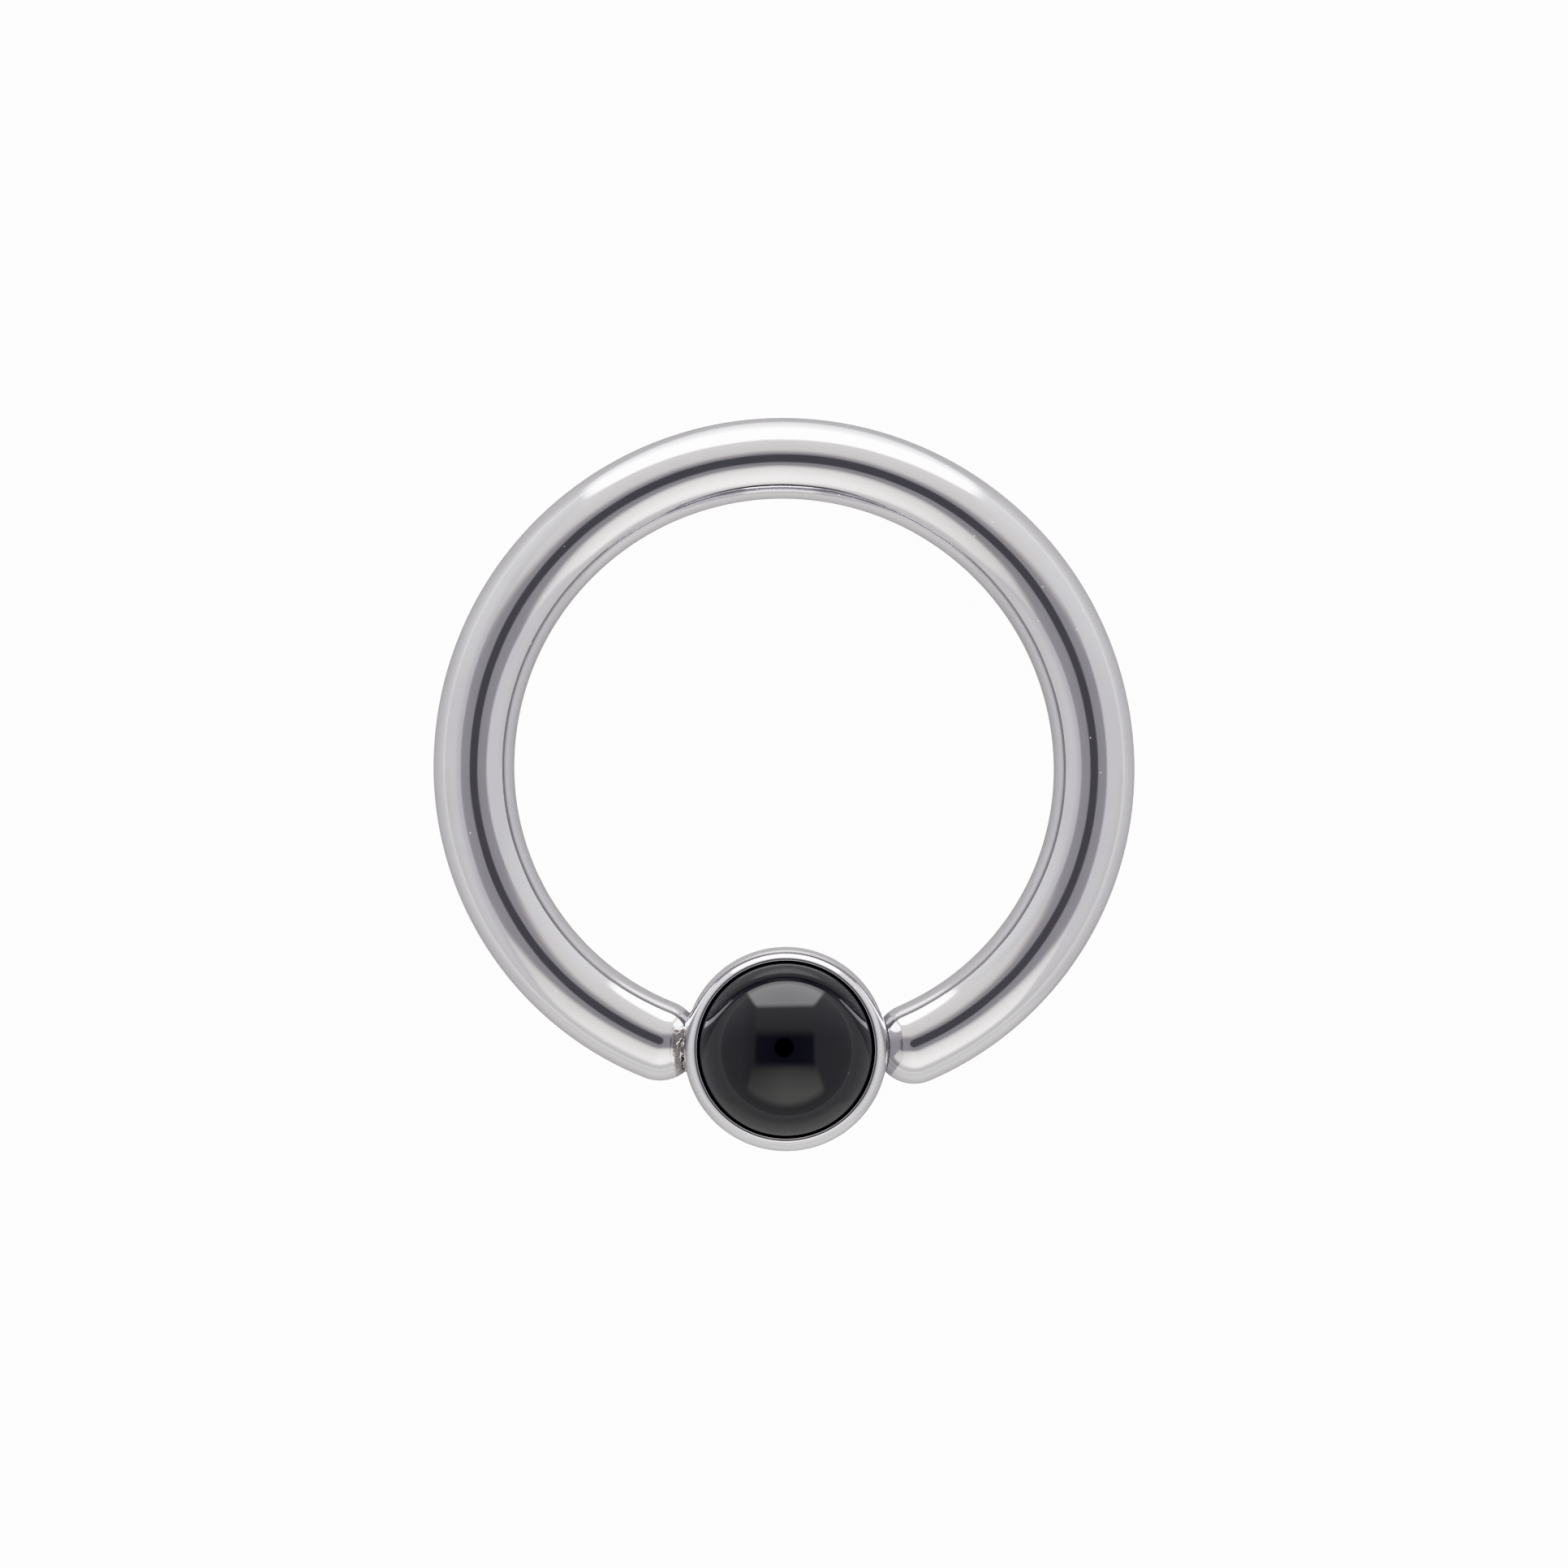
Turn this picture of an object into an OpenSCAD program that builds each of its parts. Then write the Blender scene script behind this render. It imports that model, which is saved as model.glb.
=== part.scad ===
// Captive ring of round wire, closed by a bezel cup that holds a domed stone.
// The ring lies flat: +Z is up, +Y runs from the cup to the crown of the hoop.
// One end of the wire is welded to the cup and the other is ground to fit its wall.

/* [Wire] */
// Diameter of the wire, 16 gauge
wire_d = 1.2; // [0.8:0.1:2]
// Inside diameter of the hoop from side to side, 5/16 inch
inside_d = 7.94; // [7:0.01:12]
// How much larger the radius of the rounded ends is than the wire's
nose_ease = 0.03; // [0.02:0.01:0.1]
// Length ground off the rounded nose of the open end
open_cut = 0.27; // [0.15:0.01:0.4]
// Length of the rounded nose that is sunk into the weld
weld_cut = 0.27; // [0.15:0.01:0.4]
// Gap between the open end and the wall of the cup
seat_gap = 0.03; // [0.02:0.01:0.1]

/* [Cup] */
// How far the middle of the cup stands to the right of the crown
cup_x = 0.05; // [0:0.01:0.2]
// Thickness of the wall at the foot of the cup, beside the stone
cup_wall = 0.17; // [0.12:0.01:0.4]
// Height of the lip above the top of the wire
lip_rise = 0.5; // [0.2:0.05:1.5]
// Radius of the round shoulder between the upright wall and the lip
shoulder_r = 0.36; // [0.25:0.01:0.45]
// Radius of the rolled edge of the lip
lip_r = 0.06; // [0.04:0.01:0.08]
// How far the crest of the lip stands outside the stone's girdle
crest_out = 0.02; // [0:0.01:0.06]
// Chamfer around the back of the cup
foot_chamfer = 0.1; // [0.05:0.01:0.3]

/* [Stone] */
// Diameter of the stone at its girdle
stone_d = 2.66; // [2:0.01:4]
// Height of the dome above the girdle
dome_h = 1.1; // [0.6:0.01:1.3]
// Height of the upright girdle
girdle_h = 0.5; // [0.2:0.05:0.8]
// Height of the lip's inner edge above the girdle
lip_cover = 0.1; // [0.05:0.01:0.2]
// Gap between the stone and the cup
stone_gap = 0.01; // [0.005:0.005:0.03]

/* [Weld] */
// Radius of a mean drop of the weld
drop_r = 0.07; // [0.04:0.01:0.1]

/* [Hidden] */
$fn = 96;
// Reach of a cutting body past what it cuts
over = 1;

// Bends of each side: the radius above and below its widest point, as shares of the mean radius
right_bends = [1.005, 0.96];
left_bends = [0.995, 0.948];
function upper(bends) = bends[0];
function lower(bends) = bends[1];
// Lengths that the bends share are rounded to this, so that the bends meet face to face
grain = 0.0001;

// Drops along the weld: the angle from the top of the wire and the radius as a share of the mean one
drops = [
    [-78, 1.1], [-46, 0.8], [-17, 1.2], [9, 0.7], [34, 1], [66, 1.2],
    [104, 0.9], [139, 1.1], [176, 0.8], [212, 1.2], [247, 0.9]
];
function turn(drop) = drop[0];
function share(drop) = drop[1];
// Facets of a drop
drop_facets = 24;

wire_r = wire_d/2;
nose_r = wire_r + nose_ease;
mean_r = (inside_d + wire_d)/2;
stone_r = stone_d/2;
cup_r = stone_r + cup_wall;
cup_h = wire_d + lip_rise;
crest_r = stone_r + crest_out;
lip_z = cup_h - lip_r;
girdle_z = lip_z - lip_cover;
dome_r = (stone_r^2 + dome_h^2)/(2*dome_h);

// The shoulder's section is an arc that touches the upright wall and the round of the lip
shoulder_x = cup_r - shoulder_r;
shoulder_turn = acos((crest_r - shoulder_x)/(shoulder_r - lip_r));
shoulder_z = lip_z - (shoulder_r - lip_r)*sin(shoulder_turn);
shoulder_steps = 4;
shoulder = [
    for (step = [0:shoulder_steps])
        let(angle = shoulder_turn*step/shoulder_steps)
            [shoulder_x, shoulder_z] + shoulder_r*[cos(angle), sin(angle)]
];

// Where the centre of each rounded nose lies, to the right and to the left of the crown
open_x = cup_x + cup_r + seat_gap + nose_r - open_cut;
weld_x = -cup_x + cup_r + nose_r - weld_cut;

// The hoop is drawn with the crown of its axis at the origin
function bend_r(share) = round(mean_r*share/grain)*grain;
function lower_centre(bends) = [bend_r(upper(bends)) - bend_r(lower(bends)), -bend_r(upper(bends))];
// Angle of the lower bend past the widest point, where its axis is over the point x
function stop_angle(bends, x) = acos((x - lower_centre(bends).x)/bend_r(lower(bends)));
function stop_point(bends, x) = [x, lower_centre(bends).y - bend_r(lower(bends))*sin(stop_angle(bends, x))];

// The middle of the cup is level with the place where the axis of the welded end meets its wall
cup_y = stop_point(left_bends, cup_r - cup_x).y;
weld_y = stop_point(left_bends, weld_x).y;

// The nose of the welded end as seen from the middle of the cup, and half the height of its seam
nose_way = [-weld_x - cup_x, weld_y - cup_y];
seam_h = sqrt(nose_r^2 - (norm(nose_way) - cup_r)^2);
// Point of the seam, where the nose meets the wall, at an angle from the top of the wire
function seam_point(angle) =
    let(
        up = seam_h*cos(angle),
        way = norm(nose_way),
        spread = acos(min(1, (cup_r^2 + way^2 + up^2 - nose_r^2)/(2*cup_r*way))),
        course = atan2(nose_way.y, nose_way.x) - sign(sin(angle))*spread
    )
    [cup_x + cup_r*cos(course), cup_y + cup_r*sin(course), wire_r + up];

// The origin is under the middle of the ring's own box
left_reach = bend_r(upper(left_bends)) + wire_r;
right_reach = bend_r(upper(right_bends)) + wire_r;
middle = [(right_reach - left_reach)/2, (wire_r + cup_y - cup_r)/2, 0];

// One bend of the wire, from the angle 0 on
module bend(share, angle) {
    rotate_extrude(angle = angle)
        translate([bend_r(share), 0])
            circle(wire_r);
}

// What is ground off the end of the wire to leave it round
module nose_waste(bends, nose_x) {
    point = stop_point(bends, nose_x);
    translate([point.x, point.y, wire_r])
        rotate([0, 0, -stop_angle(bends, nose_x)])
            difference() {
                translate([-wire_d, -wire_d, -wire_d])
                    cube([2*wire_d, wire_d, 2*wire_d]);
                sphere(nose_r);
            }
}

// One side of the hoop, from the crown to its round nose
module side(bends, nose_x) {
    translate([0, -bend_r(upper(bends)), wire_r])
        bend(upper(bends), 90);
    difference() {
        translate([lower_centre(bends).x, lower_centre(bends).y, wire_r])
            mirror([0, 1, 0])
                bend(lower(bends), stop_angle(bends, nose_x - wire_r));
        nose_waste(bends, nose_x);
    }
}

// Space that is ground out of the open end beside the cup
module seat_space() {
    translate([cup_x, cup_y, -over])
        cylinder(r = cup_r + seat_gap, h = over + cup_h + over);
}

// Lumps of weld along the seam between the wire's nose and the wall of the cup
module weld() {
    for (drop = drops)
        translate(seam_point(turn(drop)))
            rotate([0, 90, 0])
                sphere(drop_r*share(drop), $fn = drop_facets);
}

// Cup without its recess: chamfered foot, upright wall, round shoulder and rolled lip
module cup_body() {
    translate([cup_x, cup_y, 0])
        rotate_extrude() {
            polygon(concat(
                [[0, 0], [cup_r - foot_chamfer, 0], [cup_r, foot_chamfer]],
                shoulder,
                [[crest_r, lip_z], [0, lip_z]]
            ));
            translate([crest_r, lip_z])
                circle(lip_r);
        }
}

// The stone's shape, or its space in the cup when it is grown by a gap
module stone_shape(gap) {
    sphere_r = dome_r + gap;
    base_z = girdle_z - girdle_h - gap;
    translate([cup_x, cup_y, 0])
        intersection() {
            translate([0, 0, base_z])
                cylinder(r = stone_r + gap, h = girdle_h + dome_h + over);
            union() {
                translate([0, 0, base_z])
                    cylinder(r = stone_r + over, h = girdle_h + gap);
                translate([0, 0, girdle_z + dome_h - dome_r])
                    sphere(sphere_r);
            }
        }
}

module welded_hoop() {
    color("silver")
        translate(-middle)
            difference() {
                union() {
                    mirror([1, 0, 0])
                        side(left_bends, weld_x);
                    difference() {
                        side(right_bends, open_x);
                        seat_space();
                    }
                    weld();
                    cup_body();
                }
                stone_shape(stone_gap);
            }
}

module cabochon() {
    color([0.05, 0.05, 0.06])
        translate(-middle)
            stone_shape(0);
}

welded_hoop();
cabochon();
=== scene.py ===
from math import acos, atan2, cos, degrees, pi, radians, sin, sqrt
from random import Random

import bmesh
import bpy
from mathutils import Matrix, Vector, noise


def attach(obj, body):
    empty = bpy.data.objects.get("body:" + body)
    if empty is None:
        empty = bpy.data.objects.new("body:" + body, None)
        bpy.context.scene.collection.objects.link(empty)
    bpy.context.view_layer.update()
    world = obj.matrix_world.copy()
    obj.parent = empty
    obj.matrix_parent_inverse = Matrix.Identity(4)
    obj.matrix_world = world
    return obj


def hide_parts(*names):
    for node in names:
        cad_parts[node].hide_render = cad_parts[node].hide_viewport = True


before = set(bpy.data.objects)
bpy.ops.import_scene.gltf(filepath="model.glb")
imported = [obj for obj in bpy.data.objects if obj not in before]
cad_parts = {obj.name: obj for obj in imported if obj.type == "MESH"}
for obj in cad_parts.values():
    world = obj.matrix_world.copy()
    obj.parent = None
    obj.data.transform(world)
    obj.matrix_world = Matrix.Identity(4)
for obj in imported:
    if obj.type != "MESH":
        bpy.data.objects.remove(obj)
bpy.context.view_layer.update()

mm = 0.001


def hexToLinear(code):
    parts = [int(code[k:k + 2], 16) / 255 for k in (1, 3, 5)]
    return tuple(c / 12.92 if c <= 0.04045 else ((c + 0.055) / 1.055) ** 2.4 for c in parts) + (1.0,)


def addNode(tree, kind, settings=None, inputs=None, feeds=None):
    # inputs are constants by socket, feeds are the sockets that come in from other nodes
    node = tree.nodes.new(kind)
    for name, value in (settings or {}).items():
        setattr(node, name, value)
    for socket, value in (inputs or {}).items():
        node.inputs[socket].default_value = value
    for socket, source in (feeds or {}).items():
        tree.links.new(source, node.inputs[socket])
    return node


def calc(tree, operation, *values):
    # one sum, of numbers and of sockets
    node = addNode(tree, "ShaderNodeMath", {"operation": operation})
    for k, value in enumerate(values):
        if isinstance(value, (int, float)):
            node.inputs[k].default_value = value
        else:
            tree.links.new(value, node.inputs[k])
    return node.outputs[0]


def vectorCalc(tree, operation, *values):
    # the same with vectors, where a length or a distance comes out as a number
    node = addNode(tree, "ShaderNodeVectorMath", {"operation": operation})
    for k, value in enumerate(values):
        if isinstance(value, tuple):
            node.inputs[k].default_value = value
        else:
            tree.links.new(value, node.inputs[k])
    return node.outputs["Value" if operation in ("LENGTH", "DISTANCE") else "Vector"]


def fade(tree, value, start, end, low=0.0, high=1.0):
    # goes softly from low at the start to high at the end
    node = addNode(tree, "ShaderNodeMapRange", {"interpolation_type": "SMOOTHSTEP"},
                   {"From Min": start, "From Max": end, "To Min": low, "To Max": high}, {"Value": value})
    return node.outputs["Result"]


def mixColours(tree, factor, first, second):
    node = addNode(tree, "ShaderNodeMix", {"data_type": "RGBA"})
    for socket, value in ((0, factor), (6, first), (7, second)):
        if isinstance(value, (int, float, tuple)):
            node.inputs[socket].default_value = value
        else:
            tree.links.new(value, node.inputs[socket])
    return node.outputs[2]


def grain(tree, place, period, detail=1.5):
    # soft noise with a period in millimetres
    node = addNode(tree, "ShaderNodeTexNoise", {"noise_dimensions": "3D"},
                   {"Scale": 1 / period, "Detail": detail, "Roughness": 0.45}, {"Vector": place})
    return node.outputs["Fac"]


def specks(tree, place, cell, radii):
    # one round spot in each cell, soft between its two radii, in millimetres
    node = addNode(tree, "ShaderNodeTexVoronoi", {"voronoi_dimensions": "3D", "feature": "F1"},
                   {"Scale": 1 / cell}, {"Vector": place})
    return fade(tree, node.outputs["Distance"], radii[0] / cell, radii[1] / cell)


def addBump(tree, depth, height, under=None):
    # a bump of so many millimetres, laid on the normal that is under it
    feeds = {"Height": height}
    if under:
        feeds["Normal"] = under
    node = addNode(tree, "ShaderNodeBump", None, {"Strength": 1, "Distance": depth * mm}, feeds)
    return node.outputs["Normal"]


def newMaterial(name):
    # an empty material, and the place of each point in millimetres
    material = bpy.data.materials.new(name)
    material.use_nodes = True
    tree = material.node_tree
    tree.nodes.clear()
    point = addNode(tree, "ShaderNodeTexCoord")
    place = addNode(tree, "ShaderNodeMapping", None, {"Scale": (1 / mm, 1 / mm, 1 / mm)},
                    {"Vector": point.outputs["Object"]})
    return material, tree, place.outputs["Vector"]


def toMetres(bm):
    bmesh.ops.scale(bm, verts=bm.verts, vec=(mm, mm, mm))


def shadeSmooth(mesh, sharpAngle=35):
    mesh.polygons.foreach_set("use_smooth", [True] * len(mesh.polygons))
    mesh.set_sharp_from_angle(angle=radians(sharpAngle))


def finishPiece(bm, name, material, sharpAngle=35):
    # merges the doubles, points the faces outwards and hands back a smooth-shaded object
    bmesh.ops.remove_doubles(bm, verts=bm.verts, dist=0.00002 * mm)
    bmesh.ops.recalc_face_normals(bm, faces=bm.faces)
    mesh = bpy.data.meshes.new(name)
    bm.to_mesh(mesh)
    bm.free()
    shadeSmooth(mesh, sharpAngle)
    mesh.materials.append(material)
    piece = bpy.data.objects.new(name, mesh)
    bpy.context.scene.collection.objects.link(piece)
    return piece


def bakeModifiers(piece):
    # leaves what the modifiers make as the piece's own mesh
    graph = bpy.context.evaluated_depsgraph_get()
    made = bpy.data.meshes.new_from_object(piece.evaluated_get(graph))
    piece.modifiers.clear()
    piece.data = made
    return made


def carve(piece, cutter):
    # takes the cutter's shape out of the piece
    cut = piece.modifiers.new("cut", "BOOLEAN")
    cut.operation, cut.solver, cut.object = "DIFFERENCE", "EXACT", cutter
    shadeSmooth(bakeModifiers(piece))
    bpy.data.objects.remove(cutter)


# Titanium, polished by hand after the weld: a grey mirror with a lilac cast. It gives the eye a slight
# waviness in what it mirrors, faint polishing lines that run round the piece, a cloudy gloss and here and
# there a bright speck. Beside the weld the metal is wrinkled, duller and a warm grey. Millimetres.
wireFinish = {
    "centre": (-0.0228, 0.23),  # what the polishing lines run round
    "lineRadius": 4.5,
    "waviness": 0.008,
    "wavePeriod": 0.9,
    "heatCentre": (0.0272, -3.8999),  # the heated metal lies around this upright axis
    "heatReach": (1.69, 1.65),  # the heat fades in between these distances from it
    "heat": 1,
}
cupFinish = {
    "centre": (0.0272, -3.8999),
    "lineRadius": 1.4,
    "waviness": 0.003,
    "wavePeriod": 0.7,
    "heatCentre": (-1.8328, -3.9),
    "heatReach": (0.56, 0.40),
    "heat": 0.15,
}
polish = {
    "colours": ("#C5C3C7", "#CBC9CD"),
    "edgeTint": "#EDEDED",
    "cloudPeriod": 0.6,
    "gloss": (0.045, 0.095),
    "glossPeriod": 0.35,
    "lineWidth": 0.05,  # wider than the real lines, so that they show
    "lineLength": 1.5,
    "lineDepth": 0.0003,
    "speckCell": 0.35,
    "speckRadii": (0.0169, 0.0091),
    "speckColour": "#F4F4F5",
    "speckGloss": 0.3,
    "heatColour": "#9C9690",
    "heatBlend": 0.6,
    "heatTop": (-3.54, -3.62),  # the heat fades in between these heights in the picture, in y
    "heatEdge": 0.06,  # how uneven the edge of the heated metal is
    "heatEdgePeriod": 0.12,
    "heatGloss": 0.12,
    "wrinkle": 0.012,
    "wrinklePeriod": 0.06,
}


def polishedTitanium(name, s):
    material, tree, place = newMaterial(name)
    p = polish
    flat = vectorCalc(tree, "MULTIPLY", place, (1, 1, 0))
    parts = addNode(tree, "ShaderNodeSeparateXYZ", feeds={0: place})
    # polishing lines: slow along the round, quick across it
    about = vectorCalc(tree, "SUBTRACT", flat, (*s["centre"], 0))
    along = addNode(tree, "ShaderNodeVectorMath", {"operation": "SCALE"},
                    {"Scale": s["lineRadius"] / p["lineLength"]}, {0: vectorCalc(tree, "NORMALIZE", about)})
    reach = calc(tree, "DIVIDE", vectorCalc(tree, "LENGTH", about), p["lineWidth"])
    across = addNode(tree, "ShaderNodeCombineXYZ", feeds={"Z": reach})
    lineSpot = vectorCalc(tree, "ADD", along.outputs["Vector"], across.outputs["Vector"])
    lines = addNode(tree, "ShaderNodeTexNoise", {"noise_dimensions": "4D"}, {"Scale": 1, "Detail": 2},
                    {"Vector": lineSpot, "W": calc(tree, "DIVIDE", parts.outputs["Z"], p["lineWidth"])})
    # metal that the weld has heated, at the left side only
    apart = vectorCalc(tree, "DISTANCE", flat, (*s["heatCentre"], 0))
    uneven = calc(tree, "MULTIPLY_ADD", grain(tree, place, p["heatEdgePeriod"]), p["heatEdge"], apart)
    near = fade(tree, uneven, *[far + p["heatEdge"] / 2 for far in s["heatReach"]])
    heat = calc(tree, "MULTIPLY", near, calc(tree, "LESS_THAN", parts.outputs["X"], 0))
    heat = calc(tree, "MULTIPLY", heat, fade(tree, parts.outputs["Y"], *p["heatTop"], 0, s["heat"]))
    # bright specks of dust and polish
    speck = specks(tree, place, p["speckCell"], p["speckRadii"])
    clouds = grain(tree, place, p["cloudPeriod"], 3)
    colour = mixColours(tree, clouds, hexToLinear(p["colours"][0]), hexToLinear(p["colours"][1]))
    blend = calc(tree, "MULTIPLY", heat, p["heatBlend"])
    colour = mixColours(tree, blend, colour, hexToLinear(p["heatColour"]))
    colour = mixColours(tree, speck, colour, hexToLinear(p["speckColour"]))
    gloss = fade(tree, grain(tree, place, p["glossPeriod"], 3), 0.3, 0.7, *p["gloss"])
    gloss = calc(tree, "MULTIPLY_ADD", heat, p["heatGloss"], gloss)
    gloss = calc(tree, "MULTIPLY_ADD", speck, p["speckGloss"], gloss)
    skin = addBump(tree, p["lineDepth"], lines.outputs["Fac"])
    skin = addBump(tree, s["waviness"], grain(tree, place, s["wavePeriod"], 0.6), skin)
    wrinkles = calc(tree, "MULTIPLY", grain(tree, place, p["wrinklePeriod"], 2), heat)
    skin = addBump(tree, p["wrinkle"], wrinkles, skin)
    shader = addNode(tree, "ShaderNodeBsdfPrincipled", None,
                     {"Metallic": 1, "Specular Tint": hexToLinear(p["edgeTint"])},
                     {"Base Color": colour, "Roughness": gloss, "Normal": skin})
    addNode(tree, "ShaderNodeOutputMaterial", feeds={"Surface": shader.outputs["BSDF"]})
    return material


# The wire's axis is an oval of four bends that meet at the crown and at the widest points. Millimetres.
hoop = {
    "wireRadius": 0.6,
    "crown": (-0.0228, 4.7999),
    "rightBends": (4.5929, 4.3872),  # above and below the widest point
    "leftBends": (4.5472, 4.3324),
    "openNose": 1.9172,  # where the centre of each rounded nose lies, in x
    "weldNose": -1.8328,
    "seatTouch": 0.004,  # how near the open end comes to the cup, up to the height touchZ
    "touchZ": 0.55,
    "seatGap": 0.03,  # how far it is from the cup at the height gapZ and above
    "gapZ": 1.1,
    "cutterZ": (-1, 2),
    "cutterSteps": 360,
    "segments": 96,
    "stepsPerBend": 120,
    "noseRings": 24,
}


def lowerBend(side):
    # centre and radius of the bend below the widest point: side is 1 at the right and -1 at the left
    above, below = hoop["rightBends"] if side > 0 else hoop["leftBends"]
    crownX, crownY = hoop["crown"]
    return Vector((crownX + side * (above - below), crownY - above, hoop["wireRadius"])), below


def noseStop(side):
    # angle at which the bend comes to the centre of the nose, and that centre
    centre, radius = lowerBend(side)
    noseX = hoop["openNose"] if side > 0 else hoop["weldNose"]
    angle = acos(side * (noseX - centre.x) / radius)
    return angle, centre + Vector((side * cos(angle), -sin(angle), 0)) * radius


def roundNose(bm, edges, centre, course, radius, rings):
    # draws the open end of the tube in to a round tip
    done = 0
    for k in range(1, rings + 1):
        angle = radians(90) * k / rings
        made = bmesh.ops.extrude_edge_only(bm, edges=edges)["geom"]
        verts = [part for part in made if isinstance(part, bmesh.types.BMVert)]
        edges = [part for part in made if isinstance(part, bmesh.types.BMEdge)]
        shrink = max(cos(angle), 0.0001) / cos(done)
        bmesh.ops.scale(bm, verts=verts, vec=(shrink, shrink, shrink),
                        space=Matrix.Translation(-(centre + course * radius * sin(done))))
        bmesh.ops.translate(bm, verts=verts, vec=course * radius * (sin(angle) - sin(done)))
        done = angle
    bmesh.ops.pointmerge(bm, verts=verts, merge_co=centre + course * radius)


def buildHoop(material):
    s = hoop
    radius = s["wireRadius"]
    crown = Vector((*s["crown"], radius))
    leftCentre, rightCentre = lowerBend(-1)[0], lowerBend(1)[0]
    leftStop, start = noseStop(-1)
    rightStop, end = noseStop(1)
    # the first ring stands at the welded end, square to the axis there
    bm = bmesh.new()
    turn = Matrix.Rotation(pi + leftStop, 4, "Z") @ Matrix.Rotation(pi / 2, 4, "X")
    circle = bmesh.ops.create_circle(bm, cap_ends=False, segments=s["segments"], radius=radius,
                                     matrix=Matrix.Translation(start) @ turn)
    ring = list(circle["verts"]) + list({edge for vert in circle["verts"] for edge in vert.link_edges})
    leftAbove = crown - Vector((0, s["leftBends"][0], 0))
    rightAbove = crown - Vector((0, s["rightBends"][0], 0))
    bends = [(leftCentre, leftStop), (leftAbove, pi / 2), (rightAbove, pi / 2), (rightCentre, rightStop)]
    for centre, angle in bends:
        swept = bmesh.ops.spin(bm, geom=ring, cent=centre, axis=(0, 0, -1), angle=angle,
                               steps=s["stepsPerBend"], use_merge=False, use_duplicate=False)
        ring = swept["geom_last"]
    # the noses point on along the axis
    rims = [edge for edge in bm.edges if edge.is_boundary]
    noses = ((start, Vector((sin(leftStop), -cos(leftStop), 0))),
             (end, Vector((-sin(rightStop), -cos(rightStop), 0))))
    for centre, course in noses:
        rim = [edge for edge in rims if (edge.verts[0].co - centre).length < radius * 1.01]
        roundNose(bm, rim, centre, course, radius, s["noseRings"])
    toMetres(bm)
    wire = finishPiece(bm, "hoopWire", material)
    print("hoop wire bent:", len(wire.data.polygons), "faces")
    return wire


def grindSeat(wire):
    # the open end is ground to the round of the cup: it all but touches below and opens to a dark hairline
    s = hoop
    touch, gap = cup["radius"] + s["seatTouch"], cup["radius"] + s["seatGap"]
    low, high = s["cutterZ"]
    section = [(0, low), (touch, low), (touch, s["touchZ"]), (gap, s["gapZ"]), (gap, high), (0, high)]
    bm = spinProfile(section, cup["centre"], s["cutterSteps"])
    toMetres(bm)
    bmesh.ops.recalc_face_normals(bm, faces=bm.faces)
    # only its right half cuts, so that the welded end keeps its nose
    bmesh.ops.bisect_plane(bm, geom=bm.verts[:] + bm.edges[:] + bm.faces[:], dist=0, clear_inner=True,
                           plane_co=Vector((cup["centre"][0] * mm, 0, 0)), plane_no=(1, 0, 0))
    bmesh.ops.holes_fill(bm, edges=[edge for edge in bm.edges if edge.is_boundary])
    carve(wire, finishPiece(bm, "seatCutter", wire.data.materials[0]))
    print("seat ground:", len(wire.data.polygons), "faces")


# The cup's section goes from the middle of the back out and up over the lip, then down beside the stone:
# round foot, upright wall, round shoulder, rolled lip, a narrow land that leans to the stone. Millimetres.
cup = {
    "centre": (0.0272, -3.8999),
    "radius": 1.5,
    "footRound": 0.1,
    "shoulder": (1.14, 1.425),
    "shoulderRadius": 0.36,
    "shoulderTurn": 44.3,
    "lip": (1.334, 1.67),
    "lipRadius": 0.05,
    "land": (1.334, 1.61),
    "landRadius": 0.11,
    "landTurn": 103,
    "inside": [(1.3045, 1.706), (1.3035, 1.68), (1.31, 1.655), (1.34, 1.6), (1.34, 1.03), (0, 1.03)],
    "steps": 256,
}


def arcPoints(centre, radius, fromAngle, toAngle, count):
    turns = [radians(fromAngle + (toAngle - fromAngle) * k / count) for k in range(count + 1)]
    return [(centre[0] + radius * cos(turn), centre[1] + radius * sin(turn)) for turn in turns]


def spinProfile(points, centre, steps):
    # turns a section of (radius, height) points about the upright axis through the centre
    bm = bmesh.new()
    verts = [bm.verts.new((r, 0, z)) for r, z in points]
    edges = [bm.edges.new(pair) for pair in zip(verts, verts[1:])]
    bmesh.ops.spin(bm, geom=verts + edges, cent=(0, 0, 0), axis=(0, 0, 1), angle=2 * pi, steps=steps,
                   use_merge=True, use_duplicate=False)
    bmesh.ops.translate(bm, verts=bm.verts, vec=(*centre, 0))
    return bm


def buildCup(material):
    s = cup
    foot = s["footRound"]
    points = [(0, 0)]
    points += arcPoints((s["radius"] - foot, foot), foot, -90, 0, 8)
    points += arcPoints(s["shoulder"], s["shoulderRadius"], 0, s["shoulderTurn"], 16)
    points += arcPoints(s["lip"], s["lipRadius"], s["shoulderTurn"], 90, 8)
    points += arcPoints(s["land"], s["landRadius"], 90, s["landTurn"], 6)[1:]
    points += s["inside"]
    bm = spinProfile(points, s["centre"], s["steps"])
    toMetres(bm)
    piece = finishPiece(bm, "bezelCup", material)
    print("bezel cup turned:", len(piece.data.polygons), "faces")
    return piece


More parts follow.
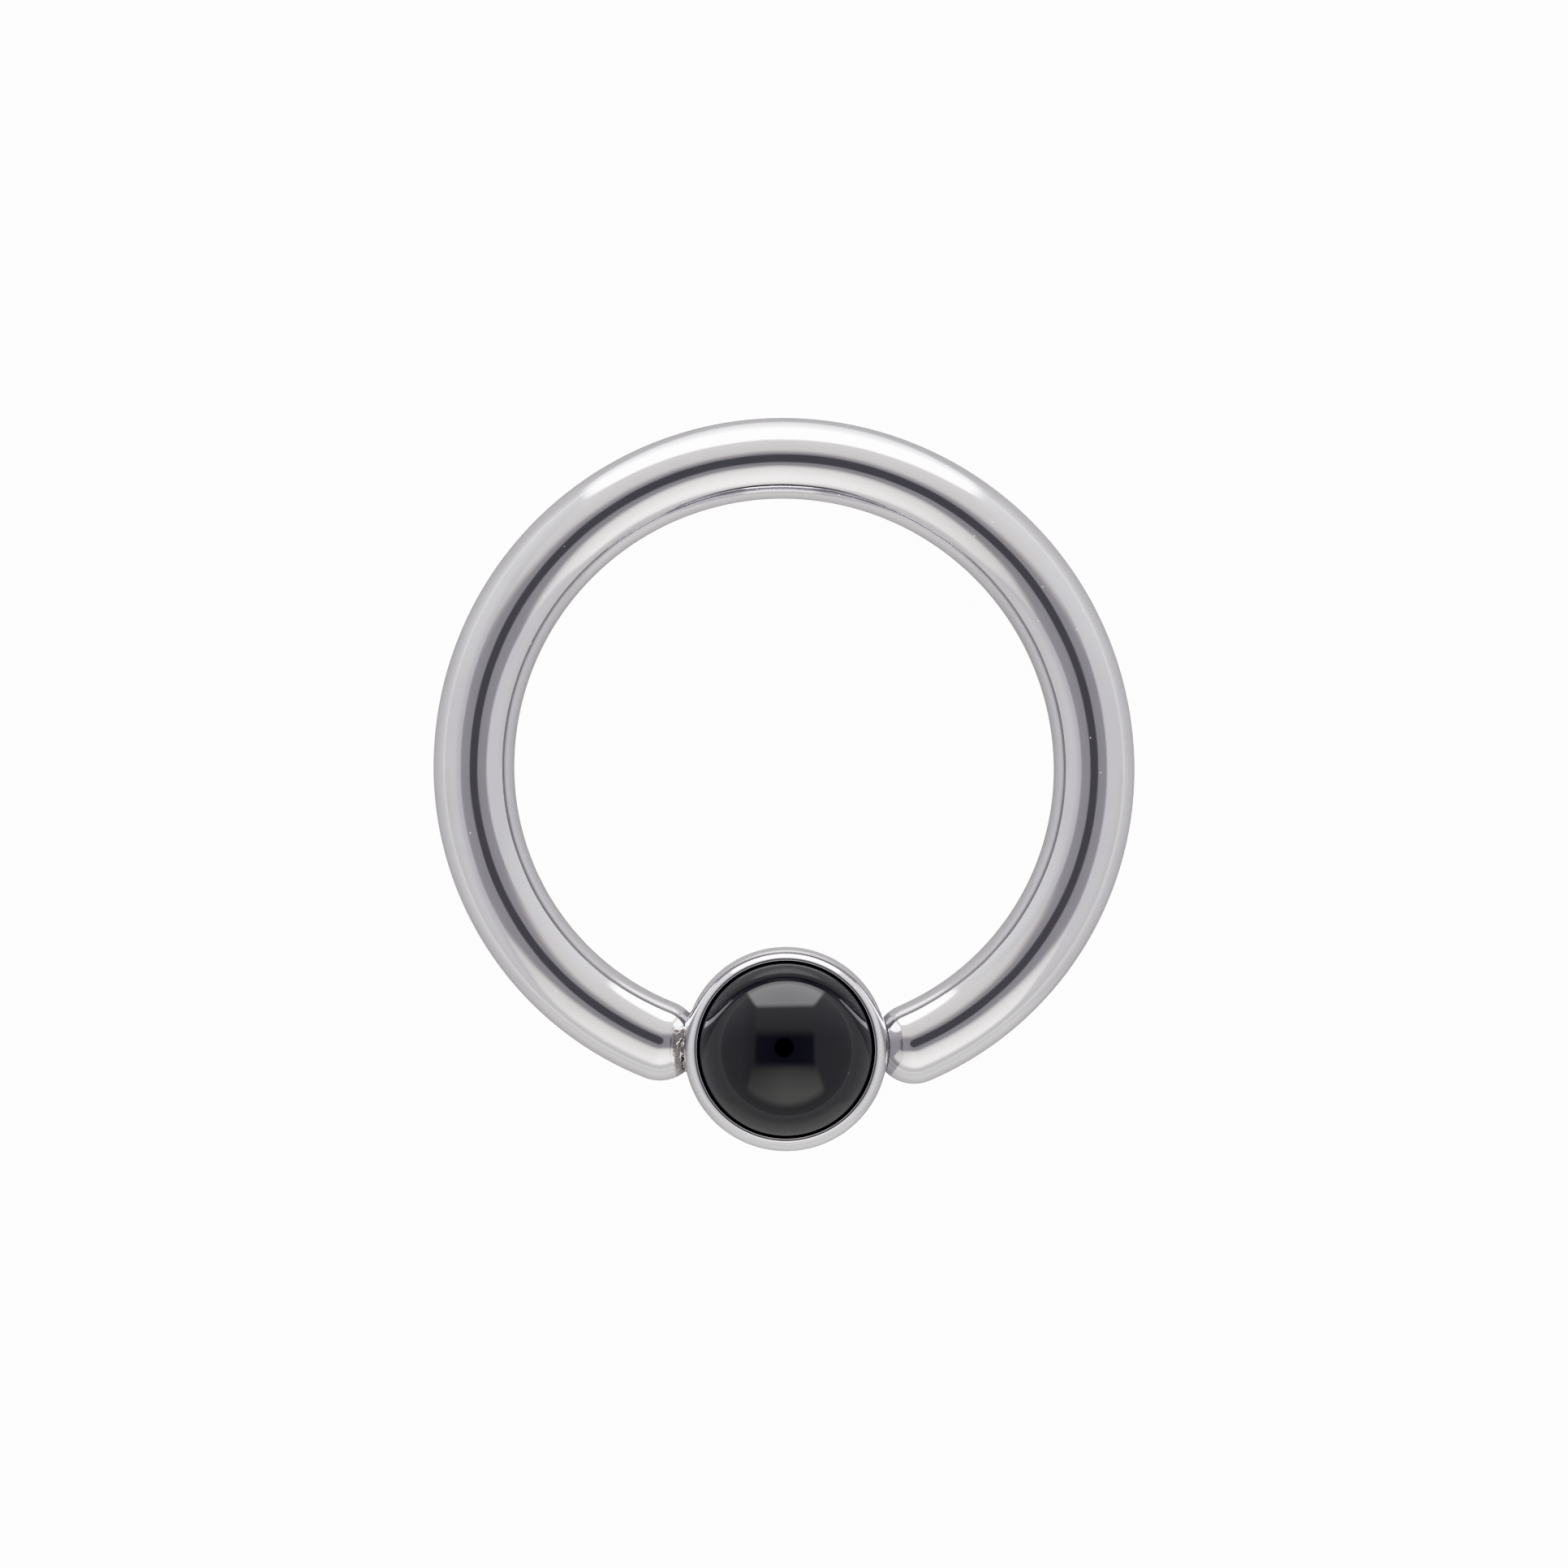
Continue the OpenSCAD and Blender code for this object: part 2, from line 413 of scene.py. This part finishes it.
# The weld is a thin fillet along the seam of the nose and the cup, with a few lumps, thin wrinkles that set
# on the nose, and a groove where no metal ran. Angles go round the wire from its top towards the outside of
# the ring. Millimetres.
weld = {
    "filletRadius": 0.022,
    "filletBeads": 96,
    "filletSpread": (0.8, 1.25),  # shares of the fillet's radius
    "lumps": 7,
    "lumpSpan": (-30, 45),
    "lumpRadius": (0.025, 0.04),
    "lumpOut": (0, 0.03),  # how far the lumps lie from the cup's wall
    "wrinkles": 13,
    "wrinkleSpan": (-38, 30),
    "wrinkleRadius": (0.011, 0.021),
    "wrinkleOut": (0.03, 0.1),
    "wrinkleSpread": (0.85, 1.15),
    "wrinkleCourse": (40, 140),  # the way that it sets out, turned from straight away from the cup
    "wrinkleBend": (-45, 45),  # how far it turns at each step
    "wrinkleSteps": (5, 11),
    "wrinkleStep": 0.012,
    "groove": (18, 62),
    "grooveStep": 2,
    "grooveOut": 0.03,
    "grooveRadius": 0.036,
    "voxel": 0.007,
    "roughness": 0.01,
    "roughnessPeriod": 0.07,
    "seed": 5,
}
weldFinish = {
    "colours": ("#8E8986", "#D4D1D2"),
    "colourPeriod": 0.08,
    "gloss": (0.1, 0.3),
    "glossPeriod": 0.1,
    "bump": 0.01,
    "bumpPeriod": 0.05,
}


def seamPoint(angle):
    # where the wire's nose meets the wall of the cup
    radius, noseRadius = cup["radius"], hoop["wireRadius"]
    nose = noseStop(-1)[1]
    away = nose - Vector((*cup["centre"], nose.z))
    up = sqrt(noseRadius ** 2 - (away.length - radius) ** 2) * cos(radians(angle))
    ratio = (radius ** 2 + away.length ** 2 + up ** 2 - noseRadius ** 2) / (2 * radius * away.length)
    spread = acos(min(1, ratio)) * (1 if sin(radians(angle)) > 0 else -1)
    out = Matrix.Rotation(spread, 3, "Z") @ away.normalized()
    return Vector((*cup["centre"], nose.z + up)) + out * radius, out, nose


def weldedTitanium(name):
    # titanium as it set after the weld: wrinkled and warm grey, with silvery tops and a dull gloss
    s = weldFinish
    material, tree, place = newMaterial(name)
    tops = fade(tree, grain(tree, place, s["colourPeriod"], 2), 0.4, 0.6)
    colour = mixColours(tree, tops, hexToLinear(s["colours"][0]), hexToLinear(s["colours"][1]))
    gloss = fade(tree, grain(tree, place, s["glossPeriod"]), 0.35, 0.65, *s["gloss"])
    skin = addBump(tree, s["bump"], grain(tree, place, s["bumpPeriod"], 2))
    shader = addNode(tree, "ShaderNodeBsdfPrincipled", None, {"Metallic": 1},
                     {"Base Color": colour, "Roughness": gloss, "Normal": skin})
    addNode(tree, "ShaderNodeOutputMaterial", feeds={"Surface": shader.outputs["BSDF"]})
    return material


def onNose(place, nose):
    return nose + (place - nose).normalized() * hoop["wireRadius"]


def addBead(bm, place, radius):
    bmesh.ops.create_uvsphere(bm, u_segments=12, v_segments=8, radius=radius,
                              matrix=Matrix.Translation(place))


def meltTogether(bm, name, material):
    # one skin over the beads. The finest voxel is 0.1 mm in metres, so this is done in millimetres
    piece = finishPiece(bm, name, material)
    melt = piece.modifiers.new("melt", "REMESH")
    melt.mode, melt.voxel_size = "VOXEL", weld["voxel"]
    bakeModifiers(piece)
    skin = bmesh.new()
    skin.from_mesh(piece.data)
    skin.normal_update()
    bpy.data.objects.remove(piece)
    return skin


def cutGroove(wire):
    # a groove in the nose, close to the cup's wall
    s = weld
    bm = bmesh.new()
    for angle in range(*s["groove"], s["grooveStep"]):
        place, out, nose = seamPoint(angle)
        addBead(bm, onNose(place + out * s["grooveOut"], nose), s["grooveRadius"])
    bm = meltTogether(bm, "grooveBeads", wire.data.materials[0])
    toMetres(bm)
    carve(wire, finishPiece(bm, "grooveCutter", wire.data.materials[0]))
    print("groove cut:", len(wire.data.polygons), "faces")


def buildWeld(material):
    s = weld
    dice = Random(s["seed"])
    bm = bmesh.new()
    for k in range(s["filletBeads"]):
        angle = 360 * k / s["filletBeads"]
        if not s["groove"][0] < angle < s["groove"][1]:
            addBead(bm, seamPoint(angle)[0], s["filletRadius"] * dice.uniform(*s["filletSpread"]))
    for k in range(s["lumps"]):
        place, out, nose = seamPoint(dice.uniform(*s["lumpSpan"]))
        addBead(bm, onNose(place + out * dice.uniform(*s["lumpOut"]), nose), dice.uniform(*s["lumpRadius"]))
    for k in range(s["wrinkles"]):
        # a thin ridge that wanders over the nose
        place, out, nose = seamPoint(dice.uniform(*s["wrinkleSpan"]))
        place = onNose(place + out * dice.uniform(*s["wrinkleOut"]), nose)
        course = Matrix.Rotation(radians(dice.uniform(*s["wrinkleCourse"])), 3, place - nose) @ out
        radius = dice.uniform(*s["wrinkleRadius"])
        for step in range(dice.randint(*s["wrinkleSteps"])):
            addBead(bm, place, radius * dice.uniform(*s["wrinkleSpread"]))
            course = Matrix.Rotation(radians(dice.uniform(*s["wrinkleBend"])), 3, place - nose) @ course
            place = onNose(place + course * s["wrinkleStep"], nose)
    bm = meltTogether(bm, "weldBeads", material)
    for vert in bm.verts:
        vert.co += vert.normal * noise.noise(vert.co / s["roughnessPeriod"]) * s["roughness"]
    bmesh.ops.smooth_vert(bm, verts=bm.verts, factor=0.5, use_axis_x=True, use_axis_y=True, use_axis_z=True)
    toMetres(bm)
    piece = finishPiece(bm, "weldSeam", material, 180)
    print("weld laid:", len(piece.data.polygons), "faces")
    return piece


# A high cabochon: upright girdle, round dome. The dome's top lies a little off the middle. Millimetres.
stone = {
    "radius": 1.33,
    "domeRadius": 1.354,
    "girdleZ": 1.54,
    "girdleHeight": 0.5,
    "domeHeight": 1.1,
    "lean": (-0.027, 0.037),  # how far the top is off the middle
    "leanFrom": 1.66,  # the height from which the dome leans
    "rings": 110,
    "steps": 256,
}
onyxFinish = {
    "colour": "#03030F",
    "ior": 1.54,
    "gloss": (0.03, 0.06),
    "glossPeriod": 0.4,
    "waviness": 0.0012,
    "wavePeriod": 0.5,
    "speckCell": 0.45,
    "speckRadii": (0.01575, 0.009),
    "speckColour": "#55555A",
}


def blackOnyx(name):
    # polished black onyx, which is dyed chalcedony: an even bluish black that shines like glass, with a
    # very slight unevenness of the polish and a few specks of dust
    s = onyxFinish
    material, tree, place = newMaterial(name)
    speck = specks(tree, place, s["speckCell"], s["speckRadii"])
    colour = mixColours(tree, speck, hexToLinear(s["colour"]), hexToLinear(s["speckColour"]))
    gloss = fade(tree, grain(tree, place, s["glossPeriod"], 3), 0.3, 0.7, *s["gloss"])
    skin = addBump(tree, s["waviness"], grain(tree, place, s["wavePeriod"], 1))
    shader = addNode(tree, "ShaderNodeBsdfPrincipled", None, {"IOR": s["ior"]},
                     {"Base Color": colour, "Roughness": gloss, "Normal": skin})
    addNode(tree, "ShaderNodeOutputMaterial", feeds={"Surface": shader.outputs["BSDF"]})
    return material


def buildStone(material):
    s = stone
    centreZ = s["girdleZ"] + s["domeHeight"] - s["domeRadius"]
    start = degrees(atan2(s["girdleZ"] - centreZ, s["radius"]))
    points = [(0, s["girdleZ"] - s["girdleHeight"]), (s["radius"], s["girdleZ"] - s["girdleHeight"])]
    points += arcPoints((0, centreZ), s["domeRadius"], start, 90, s["rings"])[:-1]
    points.append((0, centreZ + s["domeRadius"]))
    bm = spinProfile(points, cup["centre"], s["steps"])
    top = s["girdleZ"] + s["domeHeight"] - s["leanFrom"]
    for vert in bm.verts:
        rise = max(0, vert.co.z - s["leanFrom"]) / top
        vert.co += Vector((*s["lean"], 0)) * rise ** 2
    toMetres(bm)
    piece = finishPiece(bm, "onyxCabochon", material)
    print("cabochon ground:", len(piece.data.polygons), "faces")
    return piece


# The light tent is drawn as a mirror ball shows it from above: east is right, north is up, and a wall at
# the level of the ring is 0.707 from the middle. A direction's place on the ball is the x and y of the
# vector halfway between it and the zenith. Levels are radiances, tints are red, green and blue. A rise is
# how much the level changes over the ball's radius, and soft is half the width of an edge.
tent = {
    "top": {"tint": (1.007, 1, 1.033), "level": 0.45, "rise": 0.16, "halfWidth": 0.32},
    "north": {"tint": (1.022, 1, 0.956), "level": 0.75, "rise": 0.9, "edge": 0.16, "soft": 0.07},
    "sides": {"tint": (1, 1, 1.014), "level": 0.88, "rise": 0.85, "riseFrom": 0.12, "soft": 0.03,
              "dim": -0.12, "dimEdge": (-0.5, -0.36)},
    "south": {"tint": (1.017, 1, 0.947), "level": 0.58, "rise": 3, "most": 1.93, "eastShare": 0.4,
              "sideShare": -0.45, "edge": 0.2, "edgeSoft": 0.06, "halfWidth": 0.295, "spread": 0.254,
              "sideSoft": 0.03, "foot": 0.597, "footSoft": 0.05, "footLevel": 0.84,
              "footTint": (0.997, 1, 0.971)},
    "window": {"tint": (1, 1, 1), "level": 4.9, "foot": 0.468, "footSoft": 0.035, "spread": 0.69,
               "sideSoft": 0.03},
    "lens": {"tint": (0.997, 1, 1.1), "level": 0.137, "radius": 0.096, "soft": 0.018},
}


def buildTent():
    world = bpy.data.worlds.new("lightTent")
    bpy.context.scene.world = world
    world.use_nodes = True
    tree = world.node_tree
    tree.nodes.clear()

    def shade(level, tint):
        # a tinted brightness
        node = addNode(tree, "ShaderNodeVectorMath", {"operation": "SCALE"}, {0: tint})
        if isinstance(level, (int, float)):
            node.inputs["Scale"].default_value = level
        else:
            tree.links.new(level, node.inputs["Scale"])
        return node.outputs["Vector"]

    def softEdge(value, edge, softness):
        # 0 below the edge and 1 above it
        return fade(tree, value, edge - softness, edge + softness)

    def inverse(mask):
        return calc(tree, "SUBTRACT", 1, mask)

    way = addNode(tree, "ShaderNodeTexCoord")
    half = vectorCalc(tree, "ADD", way.outputs["Generated"], (0, 0, 1))
    split = addNode(tree, "ShaderNodeSeparateXYZ", feeds={0: vectorCalc(tree, "NORMALIZE", half)})
    east, north = split.outputs["X"], split.outputs["Y"]
    south = calc(tree, "MULTIPLY", north, -1)
    across = calc(tree, "ABSOLUTE", east)
    spot = addNode(tree, "ShaderNodeCombineXYZ", feeds={"X": east, "Y": north})
    out = vectorCalc(tree, "LENGTH", spot.outputs["Vector"])

    # the opening at the top, with the dim room above it
    s = tent["top"]
    level = calc(tree, "MULTIPLY_ADD", across, s["rise"], s["level"])
    colour = shade(level, s["tint"])
    # the north wall
    s = tent["north"]
    level = calc(tree, "MULTIPLY_ADD", north, s["rise"], s["level"])
    wall = softEdge(north, s["edge"], s["soft"])
    colour = mixColours(tree, wall, colour, shade(level, s["tint"]))
    # the east and west walls, brighter towards the window, and the west one dimmer high up
    s = tent["sides"]
    past = calc(tree, "MAXIMUM", calc(tree, "SUBTRACT", north, s["riseFrom"]), 0)
    level = calc(tree, "MULTIPLY_ADD", past, s["rise"], s["level"])
    dim = calc(tree, "MULTIPLY", fade(tree, east, *s["dimEdge"]), calc(tree, "LESS_THAN", east, 0))
    level = calc(tree, "MULTIPLY_ADD", dim, s["dim"], level)
    wall = softEdge(across, tent["top"]["halfWidth"], s["soft"])
    colour = mixColours(tree, wall, colour, shade(level, s["tint"]))
    # the front panel, which widens towards its foot and is brightest in the middle
    s = tent["south"]
    level = calc(tree, "MINIMUM", calc(tree, "MULTIPLY_ADD", south, s["rise"], s["level"]), s["most"])
    level = calc(tree, "MULTIPLY", level, calc(tree, "MULTIPLY_ADD", east, s["eastShare"], 1))
    level = calc(tree, "MULTIPLY", level, calc(tree, "MULTIPLY_ADD", across, s["sideShare"], 1))
    side = calc(tree, "MULTIPLY_ADD", south, -s["spread"], across)
    panel = calc(tree, "MULTIPLY", softEdge(south, s["edge"], s["edgeSoft"]),
                 inverse(softEdge(side, s["halfWidth"], s["sideSoft"])))
    colour = mixColours(tree, panel, colour, shade(level, s["tint"]))
    foot = calc(tree, "MULTIPLY", softEdge(out, s["foot"], s["footSoft"]),
                calc(tree, "GREATER_THAN", south, 0))
    colour = mixColours(tree, foot, colour, shade(s["footLevel"], s["footTint"]))
    # the bright window in the north wall
    s = tent["window"]
    side = calc(tree, "MULTIPLY_ADD", north, -s["spread"], across)
    window = calc(tree, "MULTIPLY", softEdge(north, s["foot"], s["footSoft"]),
                  inverse(softEdge(side, 0, s["sideSoft"])))
    colour = mixColours(tree, window, colour, shade(s["level"], s["tint"]))
    # the hole that the camera looks through
    s = tent["lens"]
    hole = inverse(softEdge(out, s["radius"], s["soft"]))
    colour = mixColours(tree, hole, colour, shade(s["level"], s["tint"]))
    light = addNode(tree, "ShaderNodeBackground", None, {"Strength": 1}, {"Color": colour})
    addNode(tree, "ShaderNodeOutputWorld", feeds={"Surface": light.outputs["Background"]})
    print("light tent hung")


# The ring lies on glossy white acrylic that is lit from below. The picture sees the sheet burnt out to white,
# while the polished metal mirrors it at its true grey, so there is one sheet for each.
floorSheets = {
    "whiteAcrylic": {"colour": "#A0A0A0", "glow": 2.2, "roughness": 0.3, "ior": 1.49, "z": 0},
    "glossyAcrylic": {"colour": "#959595", "glow": 0.36, "roughness": 0.04, "ior": 2.2, "z": -0.001},
}
sheetReach = 400  # millimetres from the middle to each side


def buildFloor():
    for name, s in floorSheets.items():
        material, tree = newMaterial(name)[:2]
        shader = addNode(tree, "ShaderNodeBsdfPrincipled", None,
                         {"Base Color": hexToLinear(s["colour"]), "Roughness": s["roughness"],
                          "IOR": s["ior"], "Emission Color": (1, 1, 1, 1), "Emission Strength": s["glow"]})
        addNode(tree, "ShaderNodeOutputMaterial", feeds={"Surface": shader.outputs["BSDF"]})
        bm = bmesh.new()
        bmesh.ops.create_grid(bm, x_segments=1, y_segments=1, size=sheetReach * mm)
        bmesh.ops.translate(bm, verts=bm.verts, vec=(0, 0, s["z"] * mm))
        mesh = bpy.data.meshes.new(name)
        bm.to_mesh(mesh)
        bm.free()
        mesh.materials.append(material)
        sheet = bpy.data.objects.new(name, mesh)
        bpy.context.scene.collection.objects.link(sheet)
        seen = name == "whiteAcrylic"
        sheet.visible_camera = seen
        sheet.visible_glossy = sheet.visible_diffuse = not seen
        sheet.visible_transmission = sheet.visible_shadow = not seen
    print("floor laid")


# The photograph is 1932 pixels wide, at 83.6 pixels to the millimetre where the wire's axis lies. Its
# shadows are set to full black and its highlights roll off softly.
camera = {
    "height": 280.0,
    "scale": 83.6,
    "frame": 1932,
    "sensor": 36.0,
    "black": 0.018,
    "tone": [(0.12, 0.105), (0.27, 0.254), (0.49, 0.535), (0.62, 0.62), (0.85, 0.74), (1.1, 0.83),
             (1.5, 0.91), (2.1, 0.965), (3, 0.985)],
    "toneEnd": (4, 0.99),
}


def buildCamera():
    s = camera
    data = bpy.data.cameras.new("camera")
    data.sensor_width = s["sensor"]
    halfFrame = s["frame"] / 2 / s["scale"]
    data.lens = s["sensor"] / 2 * (s["height"] - hoop["wireRadius"]) / halfFrame
    data.clip_start, data.clip_end = 0.01, 2
    eye = bpy.data.objects.new("camera", data)
    eye.location = (0, 0, s["height"] * mm)
    bpy.context.scene.collection.objects.link(eye)
    bpy.context.scene.camera = eye
    view = bpy.context.scene.view_settings
    view.view_transform, view.look, view.exposure, view.gamma = "Standard", "None", 0, 1
    view.use_curve_mapping = True
    mapping = view.curve_mapping
    mapping.black_level = (s["black"], s["black"], s["black"])
    mapping.clip_max_x = s["toneEnd"][0]
    tone = mapping.curves[3]
    tone.points[-1].location = s["toneEnd"]
    for place in s["tone"]:
        tone.points.new(*place)
    for point in tone.points:
        point.handle_type = "AUTO_CLAMPED"
    mapping.update()
    print("camera set")


wireMetal = polishedTitanium("polishedTitaniumWire", wireFinish)
cupMetal = polishedTitanium("polishedTitaniumCup", cupFinish)
wire = buildHoop(wireMetal)
grindSeat(wire)
cutGroove(wire)
bezel = buildCup(cupMetal)
seam = buildWeld(weldedTitanium("weldedTitanium"))
cabochon = buildStone(blackOnyx("blackOnyx"))
for piece in (wire, bezel, seam):
    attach(piece, "root")
    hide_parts("welded_hoop")
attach(cabochon, "root")
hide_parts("cabochon")
buildTent()
buildFloor()
buildCamera()
